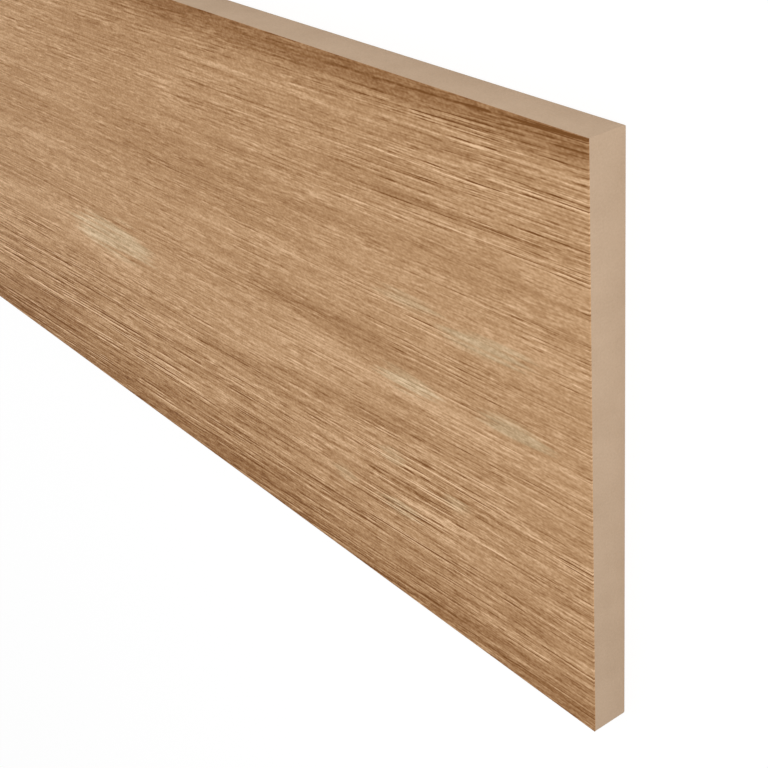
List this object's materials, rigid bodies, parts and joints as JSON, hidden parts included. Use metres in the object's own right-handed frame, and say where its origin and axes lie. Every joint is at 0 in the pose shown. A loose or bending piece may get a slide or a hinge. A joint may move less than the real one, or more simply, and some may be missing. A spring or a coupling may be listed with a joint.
{
  "type": "stair riser board",
  "caption": "Flat rectangular stair riser board: fibreboard core with bare edges and an oak-look decor laminate on its show face, glued upright between two treads.",
  "frame": {"origin": "middle of the back face, on the surface that the board lies on", "axes": "+X along the board, +Y from the bottom edge to the top edge, +Z out of the show face"},
  "size_m": [1.1938, 0.1872, 0.0127],
  "materials": {
    "fibreboard": "bare sawn and sanded medium-density fibreboard, matte tan",
    "oak_decor": "oak wood-grain printed laminate, matte with light grain embossing"
  },
  "bodies": {
    "root": {"fibreboard_core": "fibreboard", "decor_laminate": "oak_decor"}
  },
  "joints": []
}
